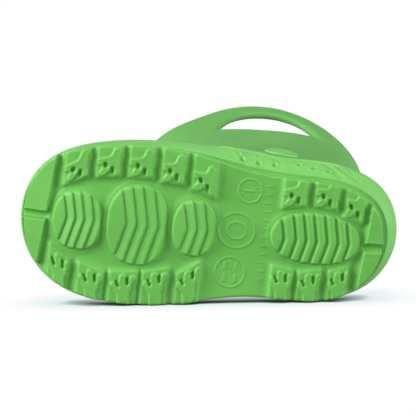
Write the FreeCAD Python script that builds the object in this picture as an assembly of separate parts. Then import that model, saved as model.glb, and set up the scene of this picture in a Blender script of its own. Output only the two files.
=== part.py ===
"""Child's garden boot, right foot: lugged tread unit with four traction pads, midsole, sidewall band,
one-piece upper with two grab handles, loose footbed and a plain badge.

Millimetres. +Z up, the boot stands on its tread at z = 0, the toe points along -Y, the inner (medial)
side of the foot is +X.
"""
import FreeCAD
import Part
import math
import os

V = FreeCAD.Vector

# Overall sizes. The outline and lug tables below are drawn for a boot 180 long and 77 wide.
LENGTH = 180.0
WIDTH = 79.0
HEIGHT = 162.0  # top of the handles

# Tread unit
LUG = 3.0  # tread depth
PLATE = 2.5  # web above the lugs
POCKET = 1.5  # how far each pad is let into the web
PAD_CLEARANCE = 0.15
GROOVE_DEPTH = 2.2
SPRING_RADIUS = 217.0  # upward curve of the toe
SPRING_START = -30.0  # where that curve leaves the ground
HEEL_BEVEL = 1.5

# Layers above it
MIDSOLE = 6.5
MIDSOLE_INSET = 2.5
FLOOR = 2.5
FOOTBED = 4.0
FOOTBED_CLEARANCE = 0.5
BAND_TOP_HEEL = 28.0
BAND_TOP_TOE = 33.0

# Upper
WALL = 4.0
RIM_FRONT = 143.0
RIM_BACK = 145.0
HANDLE_Y = 28.0
HANDLE_WIDTH = 76.0
HOLE_WIDTH = 56.0
HOLE_BOTTOM = 126.5  # at its toe end
HOLE_LIFT = 8.5  # how much higher its heel end is
HOLE_TOP = 152.0

# Badge on the inner side
BADGE_Y, BADGE_Z = 34.0, 75.0
BADGE_LENGTH, BADGE_HEIGHT = 17.0, 20.0
BADGE_DEPTH, BADGE_PROUD = 1.5, 0.8

SX = WIDTH / 77.0
SY = LENGTH / 180.0
SZ = HEIGHT / 162.0

PLATE_TOP = LUG + PLATE
MIDSOLE_TOP = PLATE_TOP + MIDSOLE
FLOOR_TOP = MIDSOLE_TOP + FLOOR
FOOTBED_TOP = FLOOR_TOP + FOOTBED

# Outline of the tread, from the toe tip round the inner side to the heel and back, and of the sidewall
# band at its widest. Each point of one has its match in the other.
TREAD = [(-4, -88.5), (12, -86), (23.5, -78), (31.5, -59.5), (35, -35), (33.6, -9), (27.6, 19),
         (26, 42), (23.8, 65), (14.5, 79.8), (-2, 84.2), (-17, 78.6), (-27.2, 65), (-30.5, 42),
         (-31.5, 18), (-36.6, -7), (-39.5, -35), (-37.6, -59), (-28, -77), (-15.5, -85.8)]
BAND = [(-5, -89.8), (10, -87.6), (22.2, -79), (31.2, -60), (35.2, -35), (35.8, -9), (35, 15),
        (33, 38), (32, 62), (22.5, 83.2), (-1, 90.8), (-20.5, 81), (-30, 62), (-32.3, 42),
        (-33.3, 18), (-38, -7), (-40.8, -35), (-39.4, -59), (-29.6, -78), (-17, -87)]

# Lugs: y at the toe side, y at the heel side, x of the inner end at each of the two.
INNER_LUGS = [(-70.8, -58.4, 12.2, 17.3), (-55.5, -43.3, 17.6, 18.8), (-40.2, -28.0, 19.1, 19.3),
              (-24.5, -12.9, 18.2, 17.9), (-9.5, 2.0, 16.4, 13.2),
              (33.9, 45.8, 11.6, 13.2), (49.2, 60.6, 13.5, 12.7), (64.0, 73.2, 10.2, 7.8)]
OUTER_LUGS = [(-74.8, -64.1, -15.6, -20.9), (-60.1, -47.0, -22.4, -24.9), (-44.8, -31.0, -24.7, -23.4),
              (-29.2, -16.5, -23.2, -20.5), (-12.8, -1.4, -22.5, -16.1),
              (31.8, 42.4, -14.8, -15.7), (44.8, 55.9, -16.4, -14.3), (59.3, 69.0, -14.5, -11.6)]

# Grooves that part the end blocks from the lugs: y at the inner edge, y at the outer edge, toe side first.
TOE_GROOVE = ((-74.0, -79.6), (-71.2, -76.6))
HEEL_GROOVE = ((75.4, 70.2), (77.9, 72.6))
CENTRE_GROOVE = 3.4
CENTRE_GROOVE_X = -2.6

# Plain ring marks under the arch: centre x, centre y, outer radius.
RING_MARKS = ((18.5, 18.3, 5.8), (-20.3, 12.5, 7.3))
RING_WIDTH = 0.9
RING_HEIGHT = 0.4

# Pads: centre x, centre y, width, length, y of each chevron apex, width of a chevron groove.
PADS = {
    "toe_pad": (-3.0, -62.6, 28.0, 24.2, [-68.2, -63.9, -59.7, -55.1], 1.6),
    "ball_pad": (-2.3, -34.0, 38.2, 29.0, [-39.8, -34.7, -29.8, -24.5], 1.8),
    "waist_pad": (-1.2, -6.8, 27.0, 21.0, [-10.7, -6.0, -1.1], 1.6),
    "heel_pad": (-0.7, 51.4, 24.8, 43.4, [36.5, 42.3, 47.2, 52.1, 57.3, 62.4, 67.4], 1.8),
}
CHEVRON_X = -2.0
CHEVRON_INNER = 0.20  # how far a chevron's arms fall back towards the toe, per mm sideways
CHEVRON_OUTER = 0.27

# Half breadth of the upper's foot shape each side of its centre line, toe to heel, for a half width of 1.
FOOT_CENTRE = -2.35
SHAFT_CENTRE = 0.5
FULLNESS = 0.85
FOOT_INNER = [-0.04, 0.583, 0.894, 0.997, 0.992, 0.922, 0.870, 0.600, 0.035]
FOOT_OUTER = [0.04, 0.534, 0.922, 1.0, 0.894, 0.783, 0.705, 0.400, -0.035]

# Outside of the upper: height, foremost y, rearmost y, half width, roundness (0 foot shape, 1 ellipse).
UPPER = [(6, -84.5, 83.5, 35.4, 0.0), (14, -85.5, 84.5, 35.8, 0.0), (22, -85.0, 84.2, 35.4, 0.03),
         (30, -82.5, 83.0, 34.4, 0.13), (38, -77.0, 81.5, 33.0, 0.30), (45, -67.5, 80.0, 31.6, 0.50),
         (52, -55.5, 78.4, 30.4, 0.70), (60, -44.0, 77.0, 29.5, 0.88), (70, -35.0, 76.0, 28.8, 1.0),
         (84, -29.8, 75.6, 28.6, 1.0), (100, -28.8, 76.4, 29.2, 1.0), (118, -31.0, 78.2, 31.2, 1.0),
         (136, -35.2, 81.0, 34.9, 1.0), (152, -39.8, 83.6, 38.9, 1.0), (170, -45.0, 86.6, 43.4, 1.0)]


def smooth(points):
    """A closed smooth edge through the points."""
    curve = Part.BSplineCurve()
    curve.interpolate([V(*p) for p in points], PeriodicFlag=True)
    return curve.toShape()


def outline(points, z):
    return Part.Wire(smooth([(x * SX, y * SY, z) for x, y in points]))


def column(wire, z0, z1):
    """The closed wire, wherever it lies, taken straight up from z0 to z1."""
    base = wire.copy()
    base.translate(V(0, 0, z0 - wire.BoundBox.ZMin))
    return Part.Face(base).extrude(V(0, 0, z1 - z0))


def block(points, z0, z1):
    """A straight-sided column on the (x, y) points."""
    ring = [V(x * SX, y * SY, z0) for x, y in points]
    return Part.Face(Part.makePolygon(ring + ring[:1])).extrude(V(0, 0, z1 - z0))


def across(edges):
    """A closed profile in the YZ plane, carried across the whole width."""
    solid = Part.Face(Part.Wire(edges)).extrude(V(4 * WIDTH, 0, 0))
    solid.translate(V(-2 * WIDTH, 0, 0))
    return solid


def layer(low, high):
    """Everything between two heights above the tread face, curving up together at the toe."""
    start, back, sweep = SPRING_START * SY, LENGTH, math.radians(24)

    def on_arc(height, angle):
        r = SPRING_RADIUS - height
        return V(0, start - r * math.sin(angle), SPRING_RADIUS - r * math.cos(angle))

    a, b = V(0, back, low), V(0, back, high)
    low_arc = Part.Arc(V(0, start, low), on_arc(low, sweep / 2), on_arc(low, sweep)).toShape()
    high_arc = Part.Arc(on_arc(high, sweep), on_arc(high, sweep / 2), V(0, start, high)).toShape()
    return across([
        Part.makeLine(a, V(0, start, low)), low_arc,
        Part.makeLine(on_arc(low, sweep), on_arc(high, sweep)), high_arc,
        Part.makeLine(V(0, start, high), b), Part.makeLine(b, a),
    ])


def mix(first, second, share):
    return [(a[0] + (b[0] - a[0]) * share, a[1] + (b[1] - a[1]) * share)
            for a, b in zip(first, second)]


def drawn_in(points, by):
    """The outline with every point moved in towards the middle line by about that much."""
    moved = []
    for x, y in points:
        reach = math.hypot(x / 38.0, y / 89.0)
        moved.append((x - by * x / 38.0 / reach, y - by * y / 89.0 / reach))
    return moved


def fuller(share):
    """The shaft's ring is a little squarer than an ellipse."""
    return math.copysign(abs(share) ** FULLNESS, share) if abs(share) > 1e-9 else 0.0


def section(z, front, back, half_width, roundness):
    """One level line of the upper."""
    mid, half = (front + back) / 2, (back - front) / 2
    points = []
    for step in range(16):
        angle = math.pi * step / 8
        side = 1 if step <= 8 else -1
        station = step if step <= 8 else 16 - step
        foot = FOOT_CENTRE + half_width * (
            FOOT_INNER[station] if side > 0 else -FOOT_OUTER[station])
        ring_x = SHAFT_CENTRE + half_width * fuller(math.sin(angle))
        x = (1 - roundness) * foot + roundness * ring_x
        y = mid - half * ((1 - roundness) * math.cos(angle) + roundness * fuller(math.cos(angle)))
        points.append((x * SX, y * SY, z * SZ))
    return Part.Wire(smooth(points))


def slope(i):
    """How fast the upper's front runs back with height at level i."""
    a, b = UPPER[max(i - 1, 0)], UPPER[min(i + 1, len(UPPER) - 1)]
    return (b[1] - a[1]) / (b[0] - a[0])


def upper_body(by=0.0):
    """The solid inside the upper's outer surface, drawn in by a wall thickness."""
    levels = []
    for i, (z, front, back, half_width, roundness) in enumerate(UPPER):
        deeper = by * math.sqrt(1 + slope(i) ** 2)
        levels.append(section(z, front + deeper, back - by, half_width - by, roundness))
    return Part.makeLoft(levels, True, False)


# Tread unit
tread = outline(TREAD, 0)
deep = layer(0, PLATE_TOP)
whole_tread = column(tread, -1, 40).common(deep)
web = column(tread, -1, 40).common(layer(LUG, PLATE_TOP))

raised = []
for y0, y1, x0, x1 in INNER_LUGS:
    raised.append(block([(x0, y0), (60, y0 + 0.6), (60, y1 + 0.6), (x1, y1)], -1, 40))
for y0, y1, x0, x1 in OUTER_LUGS:
    raised.append(block([(x0, y0), (x1, y1), (-60, y1 - 0.6), (-60, y0 - 0.6)], -1, 40))


def line_y(ends, x):
    """y at x on the line that joins the inner edge (x = 27) and the outer edge (x = -27)."""
    return ends[1] + (ends[0] - ends[1]) * (x + 27) / 54


# The end blocks, each in two halves
for far, ends in ((-120, TOE_GROOVE[0]), (120, HEEL_GROOVE[1])):
    for x0, x1 in ((-60, CENTRE_GROOVE_X - CENTRE_GROOVE / 2),
                   (CENTRE_GROOVE_X + CENTRE_GROOVE / 2, 60)):
        raised.append(block([(x0, far), (x1, far), (x1, line_y(ends, x1)), (x0, line_y(ends, x0))],
                            -1, 40))
outsole = web.multiFuse([whole_tread.common(lug) for lug in raised]).removeSplitter()

heel_end = 77 * SY
bevel = across([
    Part.makeLine(V(0, heel_end, -5), V(0, heel_end, 0)),
    Part.makeLine(V(0, heel_end, 0), V(0, heel_end + 20, 20 * HEEL_BEVEL / 10)),
    Part.makeLine(V(0, heel_end + 20, 20 * HEEL_BEVEL / 10), V(0, heel_end + 20, -5)),
    Part.makeLine(V(0, heel_end + 20, -5), V(0, heel_end, -5)),
])
outsole = outsole.cut(bevel)


def oval(cx, cy, width, length):
    """An oval outline, a little fuller than an ellipse."""
    points = []
    for step in range(12):
        angle = math.pi * step / 6
        c, s = math.cos(angle), math.sin(angle)
        full = 1.03 if step % 3 else 1.0
        points.append((cx + full * width / 2 * s, cy + full * length / 2 * c))
    return outline(points, 0)


def chevron(apex, width):
    """The cutter for one chevron groove with its apex at that y."""
    reach = 40.0
    inner, outer = apex - CHEVRON_INNER * reach, apex - CHEVRON_OUTER * reach
    h = width / 2
    x = CHEVRON_X
    return block([(x, apex - h), (x + reach, inner - h), (x + reach, inner + h), (x, apex + h),
                  (x - reach, outer + h), (x - reach, outer - h)], -1, 40)


pads = {}
pockets = []
for name, (cx, cy, width, length, apexes, groove) in PADS.items():
    shape = oval(cx, cy, width, length)
    pad = column(shape, -1, 40).common(layer(0, LUG + POCKET))
    grooves = [chevron(apex, groove).common(layer(-1, GROOVE_DEPTH)) for apex in apexes]
    pads[name] = pad.cut(Part.makeCompound(grooves))
    seat = oval(cx, cy, width + 2 * PAD_CLEARANCE, length + 2 * PAD_CLEARANCE)
    pockets.append(column(seat, -1, 40).common(layer(LUG - 1, LUG + POCKET)))
outsole = outsole.cut(Part.makeCompound(pockets))

rings = []
for x, y, radius in RING_MARKS:
    ring = Part.makeCylinder(radius, 1, V(x * SX, y * SY, LUG - RING_HEIGHT)).cut(
        Part.makeCylinder(radius - RING_WIDTH, 3, V(x * SX, y * SY, LUG - 1)))
    rings.append(ring)
outsole = outsole.multiFuse(rings).removeSplitter()

# Midsole
core = column(outline(drawn_in(TREAD, MIDSOLE_INSET), 0), -1, 60)
midsole = core.common(layer(PLATE_TOP, MIDSOLE_TOP))

# Upper
outside = upper_body()
inside = upper_body(WALL)
shell = outside.common(layer(MIDSOLE_TOP, 3 * HEIGHT)).cut(inside.common(layer(FLOOR_TOP, 3 * HEIGHT)))


def arch(points):
    """The smooth edge in the YZ plane through the (y, z) points, and those points in place."""
    curve = Part.BSplineCurve()
    ring = [V(0, y * SY, z * SZ) for y, z in points]
    curve.interpolate(ring)
    return curve.toShape(), ring


def region_above(points):
    """Everything above the smooth line through the (y, z) points, across the whole width."""
    edge, ring = arch(points)
    high = 2 * HEIGHT
    a, b = V(0, ring[0].y, high), V(0, ring[-1].y, high)
    return across([edge, Part.makeLine(ring[-1], b), Part.makeLine(b, a), Part.makeLine(a, ring[0])])


half = HANDLE_WIDTH / 2
RIM = [(-70, RIM_FRONT - 2), (-34, RIM_FRONT), (HANDLE_Y - half, RIM_FRONT + 3.5),
       (HANDLE_Y - 0.62 * half, 155.0), (HANDLE_Y, 162.0), (HANDLE_Y + 0.62 * half, 156.0),
       (HANDLE_Y + half, RIM_BACK + 4), (84, RIM_BACK - 3), (110, RIM_BACK - 5)]
shell = shell.cut(region_above(RIM))

half = HOLE_WIDTH / 2
rise = HOLE_TOP - HOLE_BOTTOM
toe_end, heel_end_of_hole = (HANDLE_Y - half, HOLE_BOTTOM), (HANDLE_Y + half, HOLE_BOTTOM + HOLE_LIFT)
bow, _ = arch([toe_end, (HANDLE_Y - 0.7 * half, HOLE_BOTTOM + 0.63 * rise), (HANDLE_Y, HOLE_TOP),
               (HANDLE_Y + 0.7 * half, HOLE_BOTTOM + 0.75 * rise), heel_end_of_hole])
sill, _ = arch([heel_end_of_hole, (HANDLE_Y, HOLE_BOTTOM + 0.24 * HOLE_LIFT), toe_end])
hole = across([bow, sill])
shell = shell.cut(hole)

# Badge, let into the wall over the inner ankle
spot = V(0, BADGE_Y * SY, BADGE_Z * SZ)
skin = outside.common(Part.makeLine(spot, spot + V(WIDTH, 0, 0))).BoundBox.XMax
disc = Part.Ellipse(V(0, 0, 0), BADGE_HEIGHT / 2, BADGE_LENGTH / 2).toShape()
disc.rotate(V(0, 0, 0), V(0, 1, 0), -90)
disc.translate(spot + V(skin - BADGE_DEPTH, 0, 0))
badge = Part.Face(Part.Wire(disc)).extrude(V(BADGE_DEPTH + BADGE_PROUD, 0, 0))
shell = shell.cut(badge)

# Footbed, loose inside
footbed = upper_body(WALL + FOOTBED_CLEARANCE).common(layer(FLOOR_TOP, FOOTBED_TOP))

# Sidewall band
levels = [(4, TREAD), (8, mix(TREAD, BAND, 0.55)), (13, mix(TREAD, BAND, 0.92)), (18, BAND),
          (26, drawn_in(BAND, 0.6)), (37, drawn_in(BAND, 1.8))]
around = Part.makeLoft([outline(points, z) for z, points in levels], True, False)
band_top = region_above([(-110, BAND_TOP_TOE), (-75, BAND_TOP_TOE), (-30, BAND_TOP_HEEL + 1.5),
                         (20, BAND_TOP_HEEL), (110, BAND_TOP_HEEL)])
band = around.common(layer(PLATE_TOP, 3 * BAND_TOP_TOE)).cut(band_top)
band = band.cut(core.common(layer(0, MIDSOLE_TOP)))
band = band.cut(outside.common(layer(MIDSOLE_TOP, 3 * HEIGHT)))

solids = {"outsole": outsole, "midsole": midsole, "sidewall_band": band, "upper_shell": shell,
          "footbed": footbed, "ankle_badge": badge, **pads}

# Everything moves together so that the middle of the footprint is the origin
extent = FreeCAD.BoundBox()
for shape in solids.values():
    extent.add(shape.optimalBoundingBox(True, False))
os.makedirs("parts", exist_ok=True)
for name, shape in solids.items():
    shape.translate(V(-extent.Center.x, -extent.Center.y, -extent.ZMin))
    piece = shape.Solids[0] if len(shape.Solids) == 1 else shape
    print(name, len(shape.Solids), round(piece.Volume), piece.isValid(),
          piece.optimalBoundingBox(True, False))
    piece.exportStep(f"parts/{name}.step")
print("moved by", -extent.Center.x, -extent.Center.y, -extent.ZMin)
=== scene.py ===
"""Looks of the child's garden boot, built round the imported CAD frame.

Shapes are worked out in millimetres in the boot's own design axes (toe -Y, heel +Y, inner side +X, up +Z)
and put in the row frame by `place`.
"""

import math

import bpy
import numpy as np
from mathutils import Matrix, Vector


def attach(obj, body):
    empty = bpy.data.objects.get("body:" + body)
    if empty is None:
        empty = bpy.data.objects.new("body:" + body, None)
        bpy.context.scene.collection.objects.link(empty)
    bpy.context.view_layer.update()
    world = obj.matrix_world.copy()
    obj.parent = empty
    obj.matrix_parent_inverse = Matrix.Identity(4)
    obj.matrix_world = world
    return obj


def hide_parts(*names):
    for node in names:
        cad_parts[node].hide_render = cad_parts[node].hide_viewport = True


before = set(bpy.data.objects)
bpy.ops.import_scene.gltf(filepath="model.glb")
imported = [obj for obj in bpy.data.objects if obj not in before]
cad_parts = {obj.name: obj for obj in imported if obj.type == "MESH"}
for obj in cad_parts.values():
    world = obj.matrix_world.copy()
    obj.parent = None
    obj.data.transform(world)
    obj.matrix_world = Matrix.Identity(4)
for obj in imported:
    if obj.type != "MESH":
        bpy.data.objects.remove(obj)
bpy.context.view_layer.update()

ACROSS = 79.0 / 77.0  # the tables below are drawn 77 wide
SHIFT = np.array([-0.393, -0.488, 0.0])  # design axes to the row frame, mm


def place(points):
    return (np.asarray(points, float) * (ACROSS, 1.0, 1.0) + SHIFT) / 1000.0


# ---------------------------------------------------------------- camera
ELEVATION = math.radians(8.5)  # raised towards the inner side
YAW = math.radians(0.7)
ROLL = math.radians(5.59)
DISTANCE = 1.250
AIM = Vector((0.0090, -0.0013, 0.0))
LENS = 227.9

forward = Vector((-math.sin(ELEVATION), math.cos(ELEVATION) * math.sin(YAW),
                  math.cos(ELEVATION) * math.cos(YAW)))
level_up = (Vector((1, 0, 0)) - forward * forward.x).normalized()
level_right = forward.cross(level_up)
right = math.cos(ROLL) * level_right + math.sin(ROLL) * level_up
up = math.cos(ROLL) * level_up - math.sin(ROLL) * level_right
camera_data = bpy.data.cameras.new("camera")
camera_data.lens = LENS
camera_data.sensor_width = 36.0
camera = bpy.data.objects.new("camera", camera_data)
camera.matrix_world = Matrix((
    (right.x, up.x, -forward.x, AIM.x - DISTANCE * forward.x),
    (right.y, up.y, -forward.y, AIM.y - DISTANCE * forward.y),
    (right.z, up.z, -forward.z, AIM.z - DISTANCE * forward.z),
    (0, 0, 0, 1)))
bpy.context.scene.collection.objects.link(camera)
bpy.context.scene.camera = camera
bpy.context.scene.view_settings.view_transform = "Standard"

# ---------------------------------------------------------------- sizes shared with the CAD
LUG, PLATE, POCKET, MIDSOLE, FLOOR, FOOTBED = 3.0, 2.5, 1.5, 6.5, 2.5, 4.0
PLATE_TOP = LUG + PLATE
MIDSOLE_TOP = PLATE_TOP + MIDSOLE
FLOOR_TOP = MIDSOLE_TOP + FLOOR
FOOTBED_TOP = FLOOR_TOP + FOOTBED
WALL, FOOTBED_CLEARANCE = 4.0, 0.5
SPRING_RADIUS, SPRING_START = 217.0, -30.0
BEND = 1.5  # the tread and its pads curve up at the toe like a layer at this height
BAND_TOP_HEEL, BAND_TOP_TOE = 28.0, 33.0
BADGE_Y, BADGE_Z, BADGE_LENGTH, BADGE_HEIGHT = 34.0, 75.0, 17.0, 20.0

TREAD = [(-4, -88.5), (12, -86), (23.5, -78), (31.5, -59.5), (35, -35), (33.6, -9), (27.6, 19),
         (26, 42), (23.8, 65), (14.5, 79.8), (-2, 84.2), (-17, 78.6), (-27.2, 65), (-30.5, 42),
         (-31.5, 18), (-36.6, -7), (-39.5, -35), (-37.6, -59), (-28, -77), (-15.5, -85.8)]
BAND = [(-5, -89.8), (10, -87.6), (22.2, -79), (31.2, -60), (35.2, -35), (35.8, -9), (35, 15),
        (33, 38), (32, 62), (22.5, 83.2), (-1, 90.8), (-20.5, 81), (-30, 62), (-32.3, 42),
        (-33.3, 18), (-38, -7), (-40.8, -35), (-39.4, -59), (-29.6, -78), (-17, -87)]

INNER_LUGS = [(-70.8, -58.4, 12.2, 17.3), (-55.5, -43.3, 17.6, 18.8), (-40.2, -28.0, 19.1, 19.3),
              (-24.5, -12.9, 18.2, 17.9), (-9.5, 2.0, 16.4, 13.2),
              (33.9, 45.8, 11.6, 13.2), (49.2, 60.6, 13.5, 12.7), (64.0, 73.2, 10.2, 7.8)]
OUTER_LUGS = [(-74.8, -64.1, -15.6, -20.9), (-60.1, -47.0, -22.4, -24.9), (-44.8, -31.0, -24.7, -23.4),
              (-29.2, -16.5, -23.2, -20.5), (-12.8, -1.4, -22.5, -16.1),
              (31.8, 42.4, -14.8, -15.7), (44.8, 55.9, -16.4, -14.3), (59.3, 69.0, -14.5, -11.6)]
TOE_GROOVE = (-74.0, -79.6)  # where the toe block ends: y at the inner edge and at the outer edge
HEEL_GROOVE = (77.9, 72.6)
CENTRE_GROOVE, CENTRE_GROOVE_X = 3.4, -2.6
PADS = {
    "toe_pad": (-3.0, -62.6, 28.0, 24.2, [-68.2, -63.9, -59.7, -55.1], 1.6),
    "ball_pad": (-2.3, -34.0, 38.2, 29.0, [-39.8, -34.7, -29.8, -24.5], 1.8),
    "waist_pad": (-1.2, -6.8, 27.0, 21.0, [-10.7, -6.0, -1.1], 1.6),
    "heel_pad": (-0.7, 51.4, 24.8, 43.4, [36.5, 42.3, 47.2, 52.1, 57.3, 62.4, 67.4], 1.8),
}
CHEVRON_X, CHEVRON_INNER, CHEVRON_OUTER = -2.0, 0.20, 0.27

FOOT_CENTRE, SHAFT_CENTRE, FULLNESS = -2.35, 0.5, 0.85
FOOT_INNER = [-0.04, 0.583, 0.894, 0.997, 0.992, 0.922, 0.870, 0.600, 0.035]
FOOT_OUTER = [0.04, 0.534, 0.922, 1.0, 0.894, 0.783, 0.705, 0.400, -0.035]
UPPER = [(6, -84.5, 83.5, 35.4, 0.0), (14, -85.5, 84.5, 35.8, 0.0), (22, -85.0, 84.2, 35.4, 0.03),
         (30, -82.5, 83.0, 34.4, 0.13), (38, -77.0, 81.5, 33.0, 0.30), (45, -67.5, 80.0, 31.6, 0.50),
         (52, -55.5, 78.4, 30.4, 0.70), (60, -44.0, 77.0, 29.5, 0.88), (70, -35.0, 76.0, 28.8, 1.0),
         (84, -29.8, 75.6, 28.6, 1.0), (100, -28.8, 76.4, 29.2, 1.0), (118, -31.0, 78.2, 31.2, 1.0),
         (136, -35.2, 81.0, 34.9, 1.0), (152, -39.8, 83.6, 38.9, 1.0), (170, -45.0, 86.6, 43.4, 1.0)]
RIM = [(-70, 141.0), (-34, 143.0), (-10, 146.5), (4.4, 155.0), (28, 162.0), (51.6, 156.0), (66, 149.0),
       (84, 142.0), (110, 140.0)]
HOLE = [(0.0, 126.5), (8.4, 142.6), (28, 152.0), (47.6, 145.6), (56.0, 135.0)]  # upper edge
SLIT = [(0.0, 126.5), (28, 128.5), (56.0, 135.0)]  # lower edge


# ---------------------------------------------------------------- curves
def spline(knots, values, at, closed=None):
    """Cubic spline through values at the knots. closed gives the period of a closed curve."""
    t, v = np.asarray(knots, float), np.asarray(values, float)
    n = len(t)
    if closed:
        step = np.append(np.diff(t), closed - t[-1] + t[0])
        slopes = (np.roll(v, -1, 0) - v) / step.reshape(-1, *[1] * (v.ndim - 1))
        a = np.zeros((n, n))
        for i in range(n):
            a[i, i - 1] += step[i - 1]
            a[i, i] += 2 * (step[i - 1] + step[i])
            a[i, (i + 1) % n] += step[i]
        bend = np.linalg.solve(a, 6 * (slopes - np.roll(slopes, 1, 0)).reshape(n, -1)).reshape(v.shape)
        at = (np.asarray(at, float) - t[0]) % closed + t[0]
    else:
        step = np.diff(t)
        slopes = np.diff(v, axis=0) / step.reshape(-1, *[1] * (v.ndim - 1))
        a = np.eye(n)
        b = np.zeros_like(v)
        for i in range(1, n - 1):
            a[i, i - 1:i + 2] = step[i - 1], 2 * (step[i - 1] + step[i]), step[i]
            b[i] = 6 * (slopes[i] - slopes[i - 1])
        bend = np.linalg.solve(a, b.reshape(n, -1)).reshape(v.shape)
        at = np.clip(np.asarray(at, float), t[0], t[-1])
    i = np.clip(np.searchsorted(t, at, side="right") - 1, 0, len(step) - 1)
    j = (i + 1) % n
    shape = at.shape + (1,) * (v.ndim - 1)
    h, x = step[i].reshape(shape), (at - t[i]).reshape(shape)
    y = h - x
    return ((bend[i] * y ** 3 + bend[j] * x ** 3) / (6 * h)
            + (v[i] / h - bend[i] * h / 6) * y + (v[j] / h - bend[j] * h / 6) * x)


def chord(points):
    """Distance along the points, and all the way round."""
    p = np.asarray(points, float)
    lengths = np.linalg.norm(np.roll(p, -1, 0) - p, axis=1)
    return np.concatenate([[0], np.cumsum(lengths)[:-1]]), lengths.sum()


def ring(points, share):
    """Points of the smooth closed curve through the given ones, share running from 0 to 1."""
    knots, total = chord(points)
    return spline(knots, points, np.asarray(share) * total, closed=total)


def profile(points):
    """A smooth open (y, z) profile as a function of y."""
    p = np.asarray(points, float)
    knots = np.concatenate([[0], np.cumsum(np.linalg.norm(np.diff(p, axis=0), axis=1))])
    fine = spline(knots, p, np.linspace(0, knots[-1], 600))
    return lambda y: np.interp(y, fine[:, 0], fine[:, 1])


def spring(y, height=0.0):
    """How far the toe spring lifts a layer that lies `height` above the tread face."""
    r = SPRING_RADIUS - height
    back = np.clip(SPRING_START - np.asarray(y, float), 0, r * 0.9)
    return r - np.sqrt(r * r - back * back)


def rise(low, high, x):
    """0 below low, 1 above high, smooth between."""
    s = np.clip((np.asarray(x, float) - low) / (high - low), 0, 1)
    return s * s * (3 - 2 * s)


def rounded(distance, radius):
    """How far an edge rounded to that radius draws a face in, at each distance from the edge."""
    return radius * (1 - np.sqrt(1 - np.clip(1 - distance / radius, 0, 1) ** 2))


# ---------------------------------------------------------------- meshes
def new_object(name, verts, faces, material, sharp=None):
    mesh = bpy.data.meshes.new(name)
    mesh.from_pydata(np.asarray(verts).tolist(), [], [list(map(int, f)) for f in faces])
    mesh.validate()
    mesh.polygons.foreach_set("use_smooth", [True] * len(mesh.polygons))
    if sharp:
        mesh.set_sharp_from_angle(angle=math.radians(sharp))
    mesh.materials.append(material)
    piece = bpy.data.objects.new(name, mesh)
    bpy.context.scene.collection.objects.link(piece)
    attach(piece, "root")
    return piece


def grid_faces(index, wrap=False, flip=False):
    """Quads over a 2-D array of vertex numbers. wrap joins the last row to the first."""
    a = np.vstack([index, index[:1]]) if wrap else index
    q = np.stack([a[:-1, :-1], a[1:, :-1], a[1:, 1:], a[:-1, 1:]], -1).reshape(-1, 4)
    return q[:, ::-1] if flip else q


def closed(index):
    """Vertex numbers with the first column repeated at the end, so the rows go all the way round."""
    return np.hstack([index, index[:, :1]])


def fan(edge, hub, flip=False):
    """Triangles from a closed row of vertex numbers to the vertex in its middle."""
    return [[b, a, hub] if flip else [a, b, hub] for a, b in zip(edge, np.roll(edge, -1))]


def clean(faces):
    """Drops repeated corners, so a quad that has closed to a triangle is one."""
    out = []
    for f in faces:
        g = [v for i, v in enumerate(f) if v != f[i - 1]]
        if len(set(g)) == len(g) and len(g) > 2:
            out.append(g)
    return out


# ---------------------------------------------------------------- materials
def moulded(name, colour, roughness, grain=0.05):
    """Moulded foam rubber: slightly uneven colour and gloss, a fine skin and paler sharp edges, which are a
    painted highlight.
    """
    material = bpy.data.materials.new(name)
    material.use_nodes = True
    nodes, links = material.node_tree.nodes, material.node_tree.links
    shader = nodes["Principled BSDF"]
    shader.inputs["Specular IOR Level"].default_value = 0.42
    where = nodes.new("ShaderNodeTexCoord")

    def noise(scale, detail):
        node = nodes.new("ShaderNodeTexNoise")
        node.inputs["Scale"].default_value = scale
        node.inputs["Detail"].default_value = detail
        links.new(where.outputs["Object"], node.inputs["Vector"])
        return node.outputs["Fac"]

    def ranged(source, low, high, from_low=0.3, from_high=0.7):
        node = nodes.new("ShaderNodeMapRange")
        node.inputs["From Min"].default_value = from_low
        node.inputs["From Max"].default_value = from_high
        node.inputs["To Min"].default_value = low
        node.inputs["To Max"].default_value = high
        links.new(source, node.inputs["Value"])
        return node.outputs["Result"]

    def blend(factor, a, b):
        node = nodes.new("ShaderNodeMix")
        node.data_type = "RGBA"
        for socket, value in ((node.inputs["Factor"], factor), (node.inputs[6], a), (node.inputs[7], b)):
            if isinstance(value, bpy.types.NodeSocket):
                links.new(value, socket)
            else:
                socket.default_value = value
        return node.outputs[2]

    dark = [c * 0.92 for c in colour] + [1.0]
    light = [min(1.0, c * 1.07 + 0.004) for c in colour] + [1.0]
    # Paler colour for sharp convex edges: a painted highlight.
    edge_highlight = [min(1.0, c * 1.12 + 0.02) for c in colour] + [1.0]
    shade = blend(ranged(noise(28.0, 3.0), 0.0, 1.0), dark, light)
    edges = nodes.new("ShaderNodeNewGeometry").outputs["Pointiness"]
    # Sharp convex edges, found by pointiness, get the painted highlight.
    shade = blend(ranged(edges, 0.0, 0.7, 0.51, 0.58), shade, edge_highlight)
    links.new(shade, shader.inputs["Base Color"])
    links.new(ranged(noise(160.0, 4.0), roughness - 0.05, roughness + 0.07), shader.inputs["Roughness"])
    bump = nodes.new("ShaderNodeBump")
    bump.inputs["Strength"].default_value = 1.0
    bump.inputs["Distance"].default_value = grain / 1000.0
    links.new(noise(1400.0, 3.0), bump.inputs["Height"])
    links.new(bump.outputs["Normal"], shader.inputs["Normal"])
    return material


tread_look = moulded("moulded_tread", (0.126, 0.450, 0.068), 0.48)
# The band's green, also used for the badge, is the tread's green painted lighter: painted light on sides
# that face the lamps.
band_lit_look = moulded("moulded_band_lit", (0.165, 0.505, 0.102), 0.50)
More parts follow.
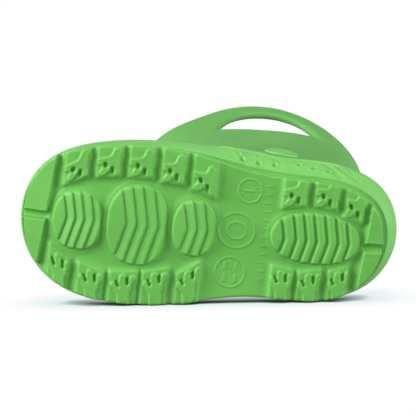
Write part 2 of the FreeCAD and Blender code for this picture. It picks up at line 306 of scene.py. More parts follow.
# The upper's green is the tread's green painted darker: painted shade.
upper_shaded_look = moulded("moulded_upper_shaded", (0.118, 0.384, 0.073), 0.56)
footbed_look = moulded("footbed_skin", (0.120, 0.380, 0.075), 0.7, grain=0.12)


# ---------------------------------------------------------------- plan view shapes
def sides(points):
    """For a closed outline: y at its two tips, x of its outer and inner side as functions of y, and
    points all the way round it."""
    p = ring(points, np.linspace(0, 1, 4000, endpoint=False))
    p = np.roll(p, -int(np.argmin(p[:, 1])), 0)
    top = int(np.argmax(p[:, 1]))
    inner, outer = p[:top + 1], np.vstack([p[top:], p[:1]])[::-1]
    return (p[0, 1], p[top, 1], lambda y: np.interp(y, outer[:, 1], outer[:, 0]),
            lambda y: np.interp(y, inner[:, 1], inner[:, 0]), p)


def oval_points(cx, cy, width, length):
    """An oval a little fuller than an ellipse; a broad one is squarer at its heel end."""
    points = []
    for step in range(12):
        angle = math.pi * step / 6
        full = 1.03 if step % 3 else 1.0
        if width > length and step in (4, 5, 7, 8):
            full = 1.08
        points.append((cx + full * width / 2 * math.sin(angle), cy - full * length / 2 * math.cos(angle)))
    return points


def to_segment(x, y, a, b):
    ax, ay, bx, by = *a, *b
    t = np.clip(((x - ax) * (bx - ax) + (y - ay) * (by - ay)) / ((bx - ax) ** 2 + (by - ay) ** 2), 0, 1)
    return np.hypot(x - ax - t * (bx - ax), y - ay - t * (by - ay))


def to_polygon(x, y, corners):
    """Distance to a convex polygon's edge, negative inside."""
    d = np.min([to_segment(x, y, a, b) for a, b in zip(corners, corners[1:] + corners[:1])], axis=0)
    turn = [(bx - ax) * (y - ay) - (by - ay) * (x - ax)
            for (ax, ay), (bx, by) in zip(corners, corners[1:] + corners[:1])]
    inside = np.all([t >= 0 for t in turn], axis=0) | np.all([t <= 0 for t in turn], axis=0)
    return np.where(inside, -d, d)


def merge(a, b, soft):
    """The nearer of two distances, with a soft fillet where they meet."""
    h = np.clip(0.5 + 0.5 * (b - a) / soft, 0, 1)
    return b + (a - b) * h - soft * h * (1 - h)


def inside(distance, edge):
    """1 inside a shape, 0 outside, over an edge of that width."""
    return 1 - rise(-edge / 2, edge / 2, distance)


def to_curve(x, y, points):
    """Distance to a densely sampled curve."""
    flat = np.stack([x.ravel(), y.ravel()], 1)
    out = np.empty(len(flat))
    for start in range(0, len(flat), 20000):
        part = flat[start:start + 20000]
        out[start:start + 20000] = np.sqrt(
            ((part[:, None, :] - points[None, :, :]) ** 2).sum(2).min(1))
    return out.reshape(x.shape)


def rows_between(low, high, step, fine=3.0, count=26):
    """y of each row: close together at the two tips, evenly spaced between."""
    tip = fine * (np.arange(count) / count) ** 2
    middle = np.linspace(low + fine, high - fine, int((high - low - 2 * fine) / step))
    return np.concatenate([low + tip, middle, (high - tip)[::-1]])


def relief(name, outline, step, height, top):
    """A closed slab of the tread with a modelled underside, curving up at the toe. height(x, y, edge
    distance) gives the underside and `top` the height of the other face."""
    y_low, y_high, x_outer, x_inner, curve = sides(outline)
    ys = rows_between(y_low, y_high, step)
    lo, hi = x_outer(ys), x_inner(ys)
    columns = int((hi - lo).max() / step)
    s = np.linspace(0, 1, columns)
    x = lo[:, None] + (hi - lo)[:, None] * s
    y = np.repeat(ys[:, None], columns, 1)
    z = height(x, y, to_curve(x, y, curve[::8])) + spring(y, BEND)
    zb = top + spring(ys, BEND)
    front = np.arange(x.size).reshape(x.shape)
    front[0, :], front[-1, :] = front[0, 0], front[-1, 0]
    rear = x.size + np.arange(2 * len(ys)).reshape(-1, 2)
    rear[0, 1], rear[-1, 1] = rear[0, 0], rear[-1, 0]
    verts = np.concatenate([
        np.stack([x, y, z], -1).reshape(-1, 3),
        np.stack([np.stack([lo, hi], 1), np.stack([ys, ys], 1), np.stack([zb, zb], 1)], -1).reshape(-1, 3)])
    faces = grid_faces(front).tolist()
    outer_side = np.stack([front[:, 0], rear[:, 0]], 1)
    inner_side = np.stack([front[:, -1], rear[:, 1]], 1)
    faces += grid_faces(outer_side, flip=True).tolist() + grid_faces(inner_side).tolist()
    faces += grid_faces(rear, flip=True).tolist()
    return new_object(name, place(verts), clean(faces), tread_look, 55)


# ---------------------------------------------------------------- tread unit
# The plain lobed pad on each lug. Each stroke is two ends and a radius; places are mm along the boot
# from the lug's middle and mm out from its inner end. The second list is the dimples.
INNER_PAD = ([((3.5, 12.4), (2.3, 7.6), 2.1), ((1.6, 8.2), (-1.0, 7.2), 2.0),
              ((-1.2, 7.9), (-4.8, 7.9), 1.6), ((-0.6, 5.0), (-2.7, 2.7), 1.5),
              ((2.6, 7.2), (4.2, 2.8), 1.5)],
             [((-1.8, 6.5), (-1.6, 6.1), 0.95), ((1.7, 4.6), (1.7, 3.3), 0.85)])
OUTER_PAD = ([((1.0, 16.0), (0.4, 9.6), 2.7), ((-1.6, 8.8), (-4.4, 6.6), 1.35),
              ((-0.2, 6.8), (-0.3, 3.2), 1.5), ((2.2, 8.4), (4.5, 3.6), 1.25),
              ((-1.2, 8.4), (1.6, 8.6), 1.6)],
             [((-3.0, 5.4), (-2.1, 7.2), 0.6), ((1.9, 4.0), (2.2, 6.2), 0.65)])
FACE = 0.9  # how far a lug's face lies below the pad on it
PIT_DEPTH = 1.9
PAD_LINE = 0.12  # a fine line just inside the pad's edge
PAD_SEAT = 0.6  # how far the web lies back behind each traction pad
BEVEL_Y, BEVEL = 77.0, 0.15  # where the heel starts to rise, and how steeply

# Plain marks under the arch: a dial, a ring with four bars, two ovals and a row of ribs.
DIAL, DIAL_RADIUS = (18.5, 18.3), 5.6
BARS, BARS_RADIUS = (-20.3, 12.5), 7.1
OVALS, OVAL_SIZES = (-0.5, 13.8), ((8.2, 8.8), (4.0, 4.6))
RIBS, RIB_START, RIB_STEP, RIB_Y = 12, 21.5, -4.0, (26.4, 28.6)


def marks(x, y):
    """How far the plain marks under the arch stand out of the web."""
    def bar(start, stop, radius):
        return inside(to_segment(x, y, start, stop) - radius, 0.4)

    out = np.zeros_like(x)
    for (cx, cy), radius in ((DIAL, DIAL_RADIUS), (BARS, BARS_RADIUS)):
        out += 0.4 * inside(abs(np.hypot(x - cx, y - cy) - radius) - 0.35, 0.5)
    cx, cy = DIAL
    for step in range(12):
        c, s = math.cos(math.pi * step / 6), math.sin(math.pi * step / 6)
        out += 0.3 * bar((cx + 3.4 * c, cy + 3.4 * s), (cx + 4.2 * c, cy + 4.2 * s), 0.2)
    out += 0.3 * bar((cx, cy - 2.1), (cx, cy + 2.1), 0.45)
    for cx, cy in ((BARS[0] + dx, BARS[1] + dy) for dx in (-2.9, 2.9) for dy in (-2.6, 2.6)):
        out += 0.35 * bar((cx - 1.2, cy), (cx + 1.2, cy), 0.7)
    for half_width, half_length in OVAL_SIZES:
        r = np.hypot((x - OVALS[0]) / half_width, (y - OVALS[1]) / half_length)
        out += 0.35 * inside(abs(r - 1) * half_width - 0.45, 0.6)
    for cx in (RIB_START + RIB_STEP * step for step in range(RIBS)):
        out += 0.22 * bar((cx, RIB_Y[0]), (cx, RIB_Y[1]), 0.45)
    return out


def lobed(a, b, design):
    """Distances to a lug's lobed pad and to its dimples."""
    strokes, pits = design
    shape = to_segment(a, b, *strokes[0][:2]) - strokes[0][2]
    for start, stop, radius in strokes[1:]:
        shape = merge(shape, to_segment(a, b, start, stop) - radius, 2.2)
    return shape, np.min([to_segment(a, b, start, stop) - radius for start, stop, radius in pits], axis=0)


def lug_fields(x, y):
    """Distances to the nearest lug, to the pad on it and to that pad's dimples."""
    lug, pad, pit = (np.full_like(x, 9.0) for _ in range(3))
    for table, side, design in ((INNER_LUGS, 1, INNER_PAD), (OUTER_LUGS, -1, OUTER_PAD)):
        for y0, y1, x0, x1 in table:
            corners = [(x0 + side, y0 + 1), (60 * side, y0 + 1 + 0.6 * side),
                       (60 * side, y1 - 1 + 0.6 * side), (x1 + side, y1 - 1)]
            lug = np.minimum(lug, to_polygon(x, y, corners) - 1)
            inner_end = x0 + (x1 - x0) * (y - y0) / (y1 - y0)
            shape, pits = lobed(y - (y0 + y1) / 2, side * (x - inner_end), design)
            pad, pit = np.minimum(pad, shape), np.minimum(pit, pits)
    return lug, pad, pit


def block_field(x, y):
    """Distance to the toe and heel end blocks, each split down the middle."""
    def groove(ends):
        return ends[1] + (ends[0] - ends[1]) * (x + 27) / 54

    blocks = np.minimum(y - groove(TOE_GROOVE), groove(HEEL_GROOVE) - y)
    return np.maximum(blocks, CENTRE_GROOVE / 2 - abs(x - CENTRE_GROOVE_X))


def tread_height(x, y, edge):
    """Height of the tread's underside above the ground, before the toe spring."""
    web = LUG - marks(x, y)
    for cx, cy, width, length, _, _ in PADS.values():
        around = to_curve(x, y, ring(oval_points(cx, cy, width, length), np.linspace(0, 1, 300)))
        within = ((x - cx) / (width / 2)) ** 2 + ((y - cy) / (length / 2)) ** 2 < 0.97
        web += np.where(within, PAD_SEAT, -0.75 * np.exp(-(around / 1.8) ** 2))
    lug, pad, pit = lug_fields(x, y)
    block = block_field(x, y)
    on_lug, on_block, in_pit = inside(lug + 0.1, 1.8), inside(block + 0.1, 1.5), inside(pit, 1.3)
    skirt = 0.6 * np.exp(-(np.clip(np.minimum(lug, block), 0, None) / 1.6) ** 2)
    face = FACE * (1 - inside(pad, 0.8)) * (1 - in_pit) + PIT_DEPTH * in_pit
    face += PAD_LINE * (1 - np.exp(-((pad + 0.5) / 0.45) ** 2))
    z = (web - skirt) * (1 - on_lug) + np.minimum(face, web) * on_lug
    z = z * (1 - on_block) + PAD_LINE * on_block * rise(0.5, 2.0, -block)
    z += BEVEL * np.clip(y - BEVEL_Y, 0, None) * on_block
    return z + 0.8 * np.clip(1 - edge / 0.9, 0, 1) ** 2


def make_tread():
    piece = relief("tread_unit", TREAD, 0.39, tread_height, PLATE_TOP - 0.05)
    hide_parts("outsole")


# ---------------------------------------------------------------- traction pads
CREST = 1.2  # height of a forefoot pad's facets
HEEL_GROOVE_DEPTH = 1.6
PAD_EDGE = 0.9  # how far below the web's face each pad's rim ends


def chevron_phase(x, y):
    """y of the chevron's apex line through each point."""
    dx = x - CHEVRON_X
    fall = np.where(dx > 0, CHEVRON_INNER, CHEVRON_OUTER) * np.sqrt(dx * dx + 0.6) - 0.15
    return y + fall


def faceted(q, ends):
    """Recess of a forefoot pad: each facet drops at its toe side and climbs back to a crest."""
    z = np.zeros_like(q)
    for a, b in zip(ends[:-1], ends[1:]):
        t = (q - a) / (b - a)
        facet = CREST * rise(0.0, 0.16, t) * np.clip((0.94 - t) / 0.84, 0, 1)
        z = np.where((t >= 0) & (t < 1), facet, z)
        z = np.where((t > 0.8) & (t < 1), z + 0.16 * (0.5 - abs(t - 0.9) / 0.2) - 0.08, z)
    return z


def grooved(q, apexes, width):
    """Recess of the heel pad: a rounded groove along each chevron."""
    return sum(HEEL_GROOVE_DEPTH * np.exp(-np.abs((q - a) / (width * 0.6)) ** 2.2) for a in apexes)


def make_pad(node):
    cx, cy, width, length, apexes, groove = PADS[node]

    def height(x, y, edge):
        q = chevron_phase(x, y)
        if node == "heel_pad":
            z = grooved(q, apexes, groove)
        else:
            z = faceted(q, apexes + [cy + length / 2 - 0.3])
        z = z + 0.3 * (((x - cx) / (width / 2)) ** 2 + ((y - cy) / (length / 2)) ** 2) ** 2
        z -= z.min()
        wall = rise(0.0, 1.25, edge)
        return z * wall + (LUG - PAD_EDGE) * (1 - wall)

    outline = oval_points(cx, cy, width, length)
    piece = relief(node.replace("_", "-"), outline, 0.36, height, LUG + POCKET)
    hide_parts(node)


# ---------------------------------------------------------------- lofted walls
def nearest(points, curve):
    """Distance from each 3-D point to a densely sampled curve."""
    flat = points.reshape(-1, 3)
    out = np.empty(len(flat))
    for start in range(0, len(flat), 8000):
        part = flat[start:start + 8000]
        out[start:start + 8000] = np.sqrt(
            ((part[:, None, :] - curve[None, :, :]) ** 2).sum(2).min(1))
    return out.reshape(points.shape[:-1])


def loft(levels, controls, shares):
    """A wall lofted through closed outlines at those heights: functions giving its points and its
    outward directions for an array of heights with one column per share."""
    step = 0.25
    heights = np.arange(levels[0], levels[-1], step)
    table = np.array([ring(row, shares) for row in spline(levels, controls, heights)])
    column = np.arange(len(shares))[None, :]

    def at(z):
        place_in = np.clip((z - heights[0]) / step, 0, len(heights) - 1.001)
        i = place_in.astype(int)
        f = (place_in - i)[..., None]
        xy = table[i, column] * (1 - f) + table[i + 1, column] * f
        return np.concatenate([xy, z[..., None]], -1)

    def outward(z):
        p = at(z)
        n = np.cross(np.roll(p, -1, 1) - np.roll(p, 1, 1), at(z + 0.5) - at(z - 0.5))
        return n / np.linalg.norm(n, axis=-1, keepdims=True)

    return at, outward


def spaced(*parts):
    """Shares from several stretches, each (from, to, how many)."""
    return np.concatenate([np.linspace(a, b, n, endpoint=False) for a, b, n in parts])


def cap_rows(edge, height, shares=(0.96, 0.8, 0.6, 0.4, 0.2, 0.04)):
    """Rows that carry an edge in to the middle of the outline, at height(y)."""
    middle = np.stack([np.interp(edge[:, 1], (-60, 60), (-3.5, -1.0)), edge[:, 1] * 0.55], 1)
    rows = []
    for s in shares:
        xy = middle * (1 - s) + edge[:, :2] * s
        rows.append(np.column_stack([xy, height(xy[:, 1])]))
    return np.array(rows)


# ---------------------------------------------------------------- upper
def fuller(share):
    return np.sign(share) * abs(share) ** FULLNESS


def upper_section(front, back, half_width, roundness):
    angle = np.pi * np.arange(16) / 8
    shape = np.array(FOOT_INNER + [-v for v in FOOT_OUTER[-2:0:-1]])
    foot = FOOT_CENTRE + half_width * shape
    x = (1 - roundness) * foot + roundness * (SHAFT_CENTRE + half_width * fuller(np.round(np.sin(angle), 9)))
    share = (1 - roundness) * np.cos(angle) + roundness * fuller(np.round(np.cos(angle), 9))
    return np.stack([x, (front + back) / 2 - (back - front) / 2 * share], 1)


upper_levels = [row[0] for row in UPPER]
upper_controls = np.array([upper_section(*row[1:]) for row in UPPER])
rim_line, hole_line, slit_line = profile(RIM), profile(HOLE), profile(SLIT)

trial = np.linspace(0, 1, 4000)


def share_at(y, z, inner_side):
    """Share of the level line at height z where it passes y on the inner or the outer side."""
    line = ring(spline(upper_levels, upper_controls, np.array([z]))[0], trial)
    half = (trial < 0.5) == inner_side
    order = np.argsort(line[half, 1])
    return np.interp(y, line[half, 1][order], trial[half][order])


corner_in = [share_at(*SLIT[0], True), share_at(*SLIT[-1], True)]
corner_out = [share_at(*SLIT[0], False), share_at(*SLIT[-1], False)]
counts = (66, 100, 78, 84, 66)
upper_shares = spaced((0, corner_in[0], counts[0]), (corner_in[0], corner_in[1], counts[1]),
                      (corner_in[1], corner_out[1], counts[2]), (corner_out[1], corner_out[0], counts[3]),
                      (corner_out[0], 1, counts[4]))
upper_at, upper_out = loft(upper_levels, upper_controls, upper_shares)
columns = len(upper_shares)
starts = np.cumsum((0,) + counts)
in_hole = np.zeros(columns, bool)
in_hole[starts[1] + 1:starts[2]] = True
in_hole[starts[3] + 1:starts[4]] = True


def settle(line, first):
    """Height at which each column meets a (y, z) profile."""
    z = np.full((1, columns), first)
    for _ in range(30):
        z = 0.5 * z + 0.5 * line(upper_at(z)[..., 1])
    return z[0]


rim_z = settle(rim_line, 141.0)
slit_z = settle(slit_line, 128.0)
low_z = np.where(in_hole, settle(hole_line, 150.0), slit_z)
edge_steps = np.array([0.0, 0.07, 0.25, 0.55, 0.95, 1.4, 1.9, 2.5])
foot_y = upper_at(np.full((1, columns), 14.0))[0, :, 1]
t = np.linspace(0, 1, 38)[:, None]
share = np.linspace(0, 1, 18)[1:-1, None]


def lower_rows(bottom):
    high = slit_z - edge_steps[::-1][:, None]
    break_z = 60.0
    return np.vstack([bottom + (break_z - bottom) * t[:-1], break_z + (high[0] - break_z) * t[:-1], high])


upper_rows = np.vstack([low_z + edge_steps[:, None],
                        low_z + 2.5 + (rim_z - low_z - 5.0) * share,
                        rim_z - edge_steps[::-1][:, None]])
rim_curve = upper_at(rim_z[None, :])[0]
corners = [starts[1], starts[2], starts[3], starts[4]]
slit_curve = upper_at(slit_z[None, :])[0]
hole_curve = np.vstack([upper_at(low_z[None, :])[0][in_hole], slit_curve[in_hole], slit_curve[corners]])


def thickened(z):
    """Inner and outer face of the wall for rows of heights, rounded off along the rim and the holes."""
    p, n = upper_at(z), upper_out(z)
    d = np.full(z.shape, 9.0)
    near = z[:, 0] > 119
    if near.any():
        d[near] = np.minimum(nearest(p[near], rim_curve), nearest(p[near], hole_curve))
    h = WALL / 2
    half_wall = h * np.sqrt(1 - (1 - np.clip(d / h, 0, 1)) ** 2)
    middle = p - h * n
    return middle + half_wall[..., None] * n, middle - half_wall[..., None] * n


def make_upper():
    """Foot and shaft in one closed skin, open at the mouth and through the two handle holes."""
    outer_low, _ = thickened(lower_rows(MIDSOLE_TOP + spring(foot_y, MIDSOLE_TOP)))
    _, inner_low = thickened(lower_rows(FLOOR_TOP + spring(foot_y, FLOOR_TOP)))
    outer_high, inner_high = thickened(upper_rows)
    sole_cap = cap_rows(outer_low[0], lambda y: MIDSOLE_TOP + spring(y, MIDSOLE_TOP))
    floor_cap = cap_rows(inner_low[0], lambda y: FLOOR_TOP + spring(y, FLOOR_TOP))

    number, total, verts = {}, 0, []
    for key, rows in (("sole", sole_cap), ("out", outer_low), ("out_high", outer_high),
                      ("in", inner_low), ("in_high", inner_high), ("floor", floor_cap)):
        number[key] = total + np.arange(rows.shape[0] * columns).reshape(-1, columns)
        total += rows.shape[0] * columns
        verts.append(rows.reshape(-1, 3))
    # The faces share their points along the rim, round the holes and where low and high rows meet.
    for high, low in (("out_high", "out"), ("in_high", "in")):
        number[high][0, ~in_hole] = number[low][-1, ~in_hole]
    number["in"][-1, in_hole] = number["out"][-1, in_hole]
    number["in_high"][0, in_hole] = number["out_high"][0, in_hole]
    number["in_high"][-1] = number["out_high"][-1]
    for corner in corners:
        number["in"][-1, corner] = number["in_high"][0, corner] = number["out"][-1, corner]

    faces = []
    for chain in ([number["sole"][::-1], number["out"]], [number["out_high"]]):
        faces += grid_faces(closed(np.vstack(chain)), flip=True).tolist()
    for chain in ([number["floor"][::-1], number["in"]], [number["in_high"]]):
        faces += grid_faces(closed(np.vstack(chain))).tolist()
    faces += fan(number["sole"][-1], total, flip=True) + fan(number["floor"][-1], total + 1)
    verts += [sole_cap[-1].mean(0)[None, :], floor_cap[-1].mean(0)[None, :]]
    piece = new_object("upper", place(np.concatenate(verts)), clean(faces), upper_shaded_look)
    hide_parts("upper_shell")


# ---------------------------------------------------------------- sidewall band
def drawn_in(points, by):
    """The outline with every point moved in towards the middle line by about that much."""
    p = np.asarray(points, float)
    reach = np.hypot(p[:, 0] / 38.0, p[:, 1] / 89.0)[:, None]
    return p - by * p / (38.0, 89.0) / reach


tread_points, band_points = np.array(TREAD, float), np.array(BAND, float)
band_levels = [4, 8, 13, 18, 26, 37]
band_controls = np.array([
    tread_points, tread_points + (band_points - tread_points) * 0.55,
    tread_points + (band_points - tread_points) * 0.92, band_points,
    drawn_in(BAND, 0.6), drawn_in(BAND, 1.8)])
band_shares = spaced((0, 0.22, 90), (0.22, 0.52, 340), (0.52, 1, 190))
band_at, band_out = loft(band_levels, band_controls, band_shares)
top_line = profile([(-110, BAND_TOP_TOE), (-75, BAND_TOP_TOE), (-30, BAND_TOP_HEEL + 1.5),
                    (20, BAND_TOP_HEEL), (110, BAND_TOP_HEEL)])

# Moulded ornament on the inner side, as (y, z): drops, a wavy bead and three sweeping grooves.
DROPS = [((5.6, 15.0), (7.0, 14.2)), ((10.6, 12.2), (11.8, 11.4)), ((13.6, 9.0), (15.4, 8.0)),
         ((19.8, 13.2), (20.8, 12.6)), ((21.8, 8.4), (23.2, 7.8)), ((24.2, 13.8), (25.4, 13.4)),
         ((29.0, 9.2), (30.4, 8.6)), ((39.6, 11.4), (41.0, 11.2)), ((47.0, 16.0), (48.2, 15.8)),
         ((47.4, 10.2), (48.8, 10.0)), ((54.8, 9.6), (56.2, 9.2)), ((33.6, 13.0), (34.8, 12.6))]
BEAD = [(-4, 21.5), (3.3, 20.2), (10, 18.0), (17, 18.8), (23, 17.2), (29, 15.4), (35, 17.6), (41.3, 19.4),
        (48, 19.0), (54, 17.8), (60, 17.0), (66, 17.5)]
SWEEPS = [[(51.0, 16.4), (55.2, 12.2), (59.0, 9.6), (63.0, 7.8), (66.8, 6.9)],
          [(57.0, 14.9), (61.2, 12.0), (65.3, 10.3), (69.5, 9.2), (73.6, 8.8)],
          [(62.0, 13.6), (65.6, 12.2), (69.3, 11.4), (72.8, 11.1), (76.2, 11.2)]]
# The waves of the inner side's top edge: y, and how far the edge rises there.
WAVES = [(-10, 0), (-3, 0.4), (4, 1.6), (10, -0.2), (17, 1.5), (25, -0.8), (33, -1.6), (42, -0.6),
         (52, 0.8), (60, 0.2), (68, 0.0)]
TOP_RADIUS, FOOT_RADIUS = 1.3, 0.8  # how the band's two edges are rounded
BAND_GAP = 0.25  # between the tread unit and the band
MIDDLE_ROW = 20  # the row of wall points along which the ornament's y is measured


def band_relief(p):
    """How far the ornament stands out of the band, for points in rows up the wall."""
    middle = p[MIDDLE_ROW]
    along = np.concatenate([[0], np.cumsum(np.linalg.norm(np.diff(middle[:, :2], axis=0), axis=1))])
    inner = band_shares < 0.5
    a, z = np.repeat(along[None, :], len(p), 0), p[..., 2]

    def arc(y):
        return float(np.interp(y, middle[inner, 1], along[inner]))

    def line_through(points):
        knots = [arc(y) for y, _ in points]
        return spline(knots, [h for _, h in points], a), knots[0], knots[-1]

    out = np.zeros_like(z)
    for head, tail in DROPS:
        d = to_segment(a, z, (arc(head[0]), head[1]), (arc(tail[0]), tail[1]))
        out += 0.3 * np.exp(-((d - 1.3) / 0.5) ** 2) - inside(d - 0.7, 0.9)
    line, _, _ = line_through(BEAD)
    fade = rise(arc(-4), arc(6), a) * (1 - rise(arc(58), arc(66), a))
    out += fade * 0.75 * np.exp(-((z - line) / 0.9) ** 2)
    out -= fade * 0.45 * np.exp(-((z - line + 1.9) / 0.9) ** 2)
    for sweep in SWEEPS:
        line, start, stop = line_through(sweep)
        s = np.clip((a - start) / (stop - start), 0, 1)
        width = 0.25 + 0.75 * np.sin(np.pi * s) ** 0.7
        there = rise(start, start + 2, a) * (1 - rise(stop - 3, stop, a))
        out += there * 0.3 * np.exp(-((z - line - 1.5) / 0.7) ** 2)
        out -= there * 0.8 * np.exp(-((z - line) / width) ** 2)
    return out * rise(0.0, 1.2, z - PLATE_TOP - 0.4) * (a < along[inner][-1])


def make_band():
    y = band_at(np.full((1, len(band_shares)), 14.0))[0, :, 1]
    low = PLATE_TOP + spring(y, PLATE_TOP)
    high = top_line(y) + np.where(band_shares < 0.5, np.interp(y, *zip(*WAVES)), 0)
    shares_up = np.concatenate([[0, 0.003, 0.01, 0.02], np.linspace(0.035, 0.96, 66),
                                [0.975, 0.987, 0.996, 1.0]])
    z = low + BAND_GAP + (high - low - BAND_GAP) * shares_up[:, None]
    wall = band_at(z)
    inset = rounded(high - z, TOP_RADIUS) + rounded(z - low - BAND_GAP, FOOT_RADIUS)
    wall = wall + band_out(z) * (band_relief(wall) - inset)[..., None]
    behind = []  # the band's back runs a little way into the upper
    for level in z[[0, 24, 48, -1]]:
        points = band_at(level[None, :])[0]
        gap = nearest(points, upper_at(np.full((1, columns), level.mean()))[0])
        back = points - band_out(level[None, :])[0] * (np.maximum(2.0, gap * 1.02) + 1.2)[:, None]
        back[:, 2] = level
        behind.append(back)
    rows = np.concatenate([wall, np.array(behind)[::-1]])
    index = np.arange(rows.shape[0] * rows.shape[1]).reshape(rows.shape[:2])
    faces = grid_faces(closed(index), wrap=True, flip=True).tolist()
    piece = new_object("sidewall", place(rows.reshape(-1, 3)), clean(faces), band_lit_look, 60)
    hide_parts("sidewall_band")


# ---------------------------------------------------------------- footbed
def make_footbed():
    rest = FLOOR_TOP + spring(foot_y, FLOOR_TOP)
    edge = upper_at(rest[None, :])[0] - (WALL + FOOTBED_CLEARANCE) * upper_out(rest[None, :])[0]
    inward = np.array([-2.0, 0.0]) - edge[:, :2]
    inward /= np.linalg.norm(inward, axis=1)[:, None]
    side = []
    for inset, height in ((0.6, 0.1), (0.15, 0.5), (0.0, 1.2), (0.0, 2.6), (0.2, 3.3), (0.6, 3.75),
                          (1.3, 3.98)):
        xy = edge[:, :2] + inward * inset
        side.append(np.column_stack([xy, FLOOR_TOP + height + spring(xy[:, 1], FLOOR_TOP + 2)]))
    top = cap_rows(side[-1], lambda y: FOOTBED_TOP + spring(y, FOOTBED_TOP) - 0.35,
                   (0.97, 0.9, 0.75, 0.55, 0.35, 0.15, 0.03))
    base = cap_rows(side[0], lambda y: FLOOR_TOP + 0.1 + spring(y, FLOOR_TOP))
    rows = np.concatenate([base[::-1], np.array(side), top])
    index = np.arange(rows.shape[0] * columns).reshape(-1, columns)
    verts = np.vstack([rows.reshape(-1, 3), rows[0].mean(0), rows[-1].mean(0)])
    faces = grid_faces(closed(index), flip=True).tolist()
    faces += fan(index[0], len(verts) - 2, flip=True) + fan(index[-1], len(verts) - 1)
    piece = new_object("insole", place(verts), clean(faces), footbed_look)
    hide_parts("footbed")


# ---------------------------------------------------------------- badge
BADGE = [(0.985, -1.3), (1.0, -0.9), (1.0, 0.35), (0.985, 0.62), (0.95, 0.78), (0.90, 0.8), (0.86, 0.72),
         (0.84, 0.5), (0.80, 0.42), (0.62, 0.44), (0.46, 0.5), (0.43, 0.62), (0.40, 0.68), (0.36, 0.7),
         (0.2, 0.74), (0.02, 0.75)]  # share of the radius, height above the wall
BADGE_SIDES = 96


def skin_x(y, z):
    """x of the upper's inner side at each (y, z) near the badge, from a table with a 0.5 mm step."""
    levels = np.linspace(60, 90, 61)
    skin = upper_at(np.repeat(levels[:, None], columns, 1))[:, upper_shares < 0.5]
    table = np.array([np.interp(np.linspace(20, 48, 57), row[:, 1], row[:, 0]) for row in skin])
    iy, iz = (y - 20) * 2, (z - 60) * 2
    a, b = iy.astype(int), iz.astype(int)
    fy, fz = iy - a, iz - b
    return ((table[b, a] * (1 - fy) + table[b, a + 1] * fy) * (1 - fz)
            + (table[b + 1, a] * (1 - fy) + table[b + 1, a + 1] * fy) * fz)


def make_badge():
    turn = np.linspace(0, 2 * np.pi, BADGE_SIDES, endpoint=False)
    rows = []
    for share_out, height in BADGE:
        y = BADGE_Y + share_out * BADGE_LENGTH / 2 * np.cos(turn)
        z = BADGE_Z + share_out * BADGE_HEIGHT / 2 * np.sin(turn)
        rows.append(np.column_stack([skin_x(y, z) + height, y, z]))
    index = np.arange(len(BADGE) * BADGE_SIDES).reshape(-1, BADGE_SIDES)
    faces = grid_faces(closed(index), flip=True).tolist()
    faces += [index[0][::-1].tolist(), index[-1].tolist()]
    piece = new_object("badge", place(np.concatenate(rows)), clean(faces), band_lit_look, 50)
    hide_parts("ankle_badge")


# ---------------------------------------------------------------- midsole, carried over from the CAD
def dress_midsole():
    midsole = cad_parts["midsole"]
    midsole.data.materials.clear()
    midsole.data.materials.append(tread_look)


make_tread()
for pad_node in PADS:
    make_pad(pad_node)
make_upper()
make_band()
make_footbed()
make_badge()
dress_midsole()


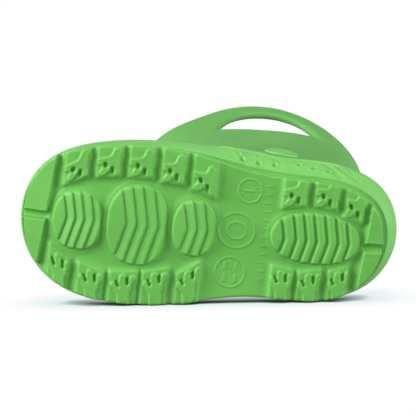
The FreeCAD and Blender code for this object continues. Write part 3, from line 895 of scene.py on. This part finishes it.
# ---------------------------------------------------------------- stage and light
def backdrop(name, corners_m):
    """A white sheet with a soft contact shadow, which only the camera sees and only from its front.
    The shadow fades out with height, so a standing sheet has it only round the sole."""
    material = bpy.data.materials.new(name)
    material.use_nodes = True
    nodes, links = material.node_tree.nodes, material.node_tree.links
    nodes.clear()
    shade = nodes.new("ShaderNodeAmbientOcclusion")
    shade.inputs["Distance"].default_value = 0.03
    shade.samples = 24
    parts = nodes.new("ShaderNodeSeparateXYZ")
    fade = nodes.new("ShaderNodeMapRange")
    fade.inputs["From Min"].default_value = 0.01
    fade.inputs["From Max"].default_value = 0.06
    lighter = nodes.new("ShaderNodeMath")
    lighter.operation = "MAXIMUM"
    links.new(nodes.new("ShaderNodeTexCoord").outputs["Object"], parts.inputs[0])
    links.new(parts.outputs["Z"], fade.inputs["Value"])
    links.new(shade.outputs["AO"], lighter.inputs[0])
    links.new(fade.outputs["Result"], lighter.inputs[1])
    ramp = nodes.new("ShaderNodeValToRGB")
    ramp.color_ramp.interpolation = "EASE"
    for stop, (position, colour) in zip(
            (*ramp.color_ramp.elements, ramp.color_ramp.elements.new(0.24),
             ramp.color_ramp.elements.new(0.43)),
            ((0.03, (0.012, 0.020, 0.010, 1)), (0.62, (1.03, 1.03, 1.03, 1)),
             (0.24, (0.34, 0.43, 0.39, 1)), (0.43, (0.80, 0.88, 0.89, 1)))):
        stop.position = position
        stop.color = colour
    paper = nodes.new("ShaderNodeEmission")
    clear = nodes.new("ShaderNodeBsdfTransparent")
    mixed = nodes.new("ShaderNodeMixShader")
    front = nodes.new("ShaderNodeMath")
    front.operation = "SUBTRACT"
    front.use_clamp = True
    output = nodes.new("ShaderNodeOutputMaterial")
    links.new(nodes.new("ShaderNodeLightPath").outputs["Is Camera Ray"], front.inputs[0])
    links.new(nodes.new("ShaderNodeNewGeometry").outputs["Backfacing"], front.inputs[1])
    links.new(lighter.outputs[0], ramp.inputs["Fac"])
    links.new(ramp.outputs["Color"], paper.inputs["Color"])
    links.new(front.outputs[0], mixed.inputs[0])
    links.new(clear.outputs[0], mixed.inputs[1])
    links.new(paper.outputs[0], mixed.inputs[2])
    links.new(mixed.outputs[0], output.inputs[0])
    mesh = bpy.data.meshes.new(name)
    mesh.from_pydata(corners_m, [], [(0, 1, 2, 3)])
    mesh.materials.append(material)
    sheet = bpy.data.objects.new(name, mesh)
    bpy.context.scene.collection.objects.link(sheet)
    sheet.visible_shadow = sheet.visible_diffuse = sheet.visible_glossy = False


def lying_on(y, z):
    """The plane the boot lies on in the main view: it touches the ball, the heel and the shaft's rim."""
    return -0.0397 + 0.115 * (y + 0.007) - 0.052 * (z - 0.018), y, z


backdrop("ground", [(-4, -4, 0), (4, -4, 0), (4, 4, 0), (-4, 4, 0)])
backdrop("side_sheet", [lying_on(-4, -0.8), lying_on(4, -0.8), lying_on(4, 7), lying_on(-4, 7)])

def light_world():
    """A white surround for the camera, and a softer one as light."""
    world = bpy.data.worlds.new("world")
    bpy.context.scene.world = world
    world.use_nodes = True
    nodes, links = world.node_tree.nodes, world.node_tree.links
    seen = nodes.new("ShaderNodeBackground")
    seen.inputs["Strength"].default_value = 1.0
    seen.inputs["Color"].default_value = (1, 1, 1, 1)
    lighting = nodes["Background"]
    lighting.inputs["Color"].default_value = (0.97, 0.985, 1.0, 1)
    lighting.inputs["Strength"].default_value = 0.42
    pick = nodes.new("ShaderNodeMixShader")
    links.new(nodes.new("ShaderNodeLightPath").outputs["Is Camera Ray"], pick.inputs[0])
    links.new(lighting.outputs[0], pick.inputs[1])
    links.new(seen.outputs[0], pick.inputs[2])
    links.new(pick.outputs[0], nodes["World Output"].inputs[0])


def softbox(name, position, target, size, watts):
    light = bpy.data.lights.new(name, "AREA")
    light.shape = "RECTANGLE"
    light.size, light.size_y = size
    light.energy = watts
    lamp = bpy.data.objects.new(name, light)
    lamp.location = position
    lamp.rotation_euler = (Vector(target) - Vector(position)).to_track_quat("-Z", "Y").to_euler()
    bpy.context.scene.collection.objects.link(lamp)


light_world()
softbox("toe_side", (0.45, -1.25, -0.50), (0, 0, 0.03), (0.8, 0.8), 25)
softbox("heel_side", (0.50, 1.25, -0.40), (0, 0, 0.03), (0.8, 0.8), 15)
softbox("inner_side", (1.25, 0.10, -0.55), (0, 0, 0.03), (0.8, 0.8), 2.5)
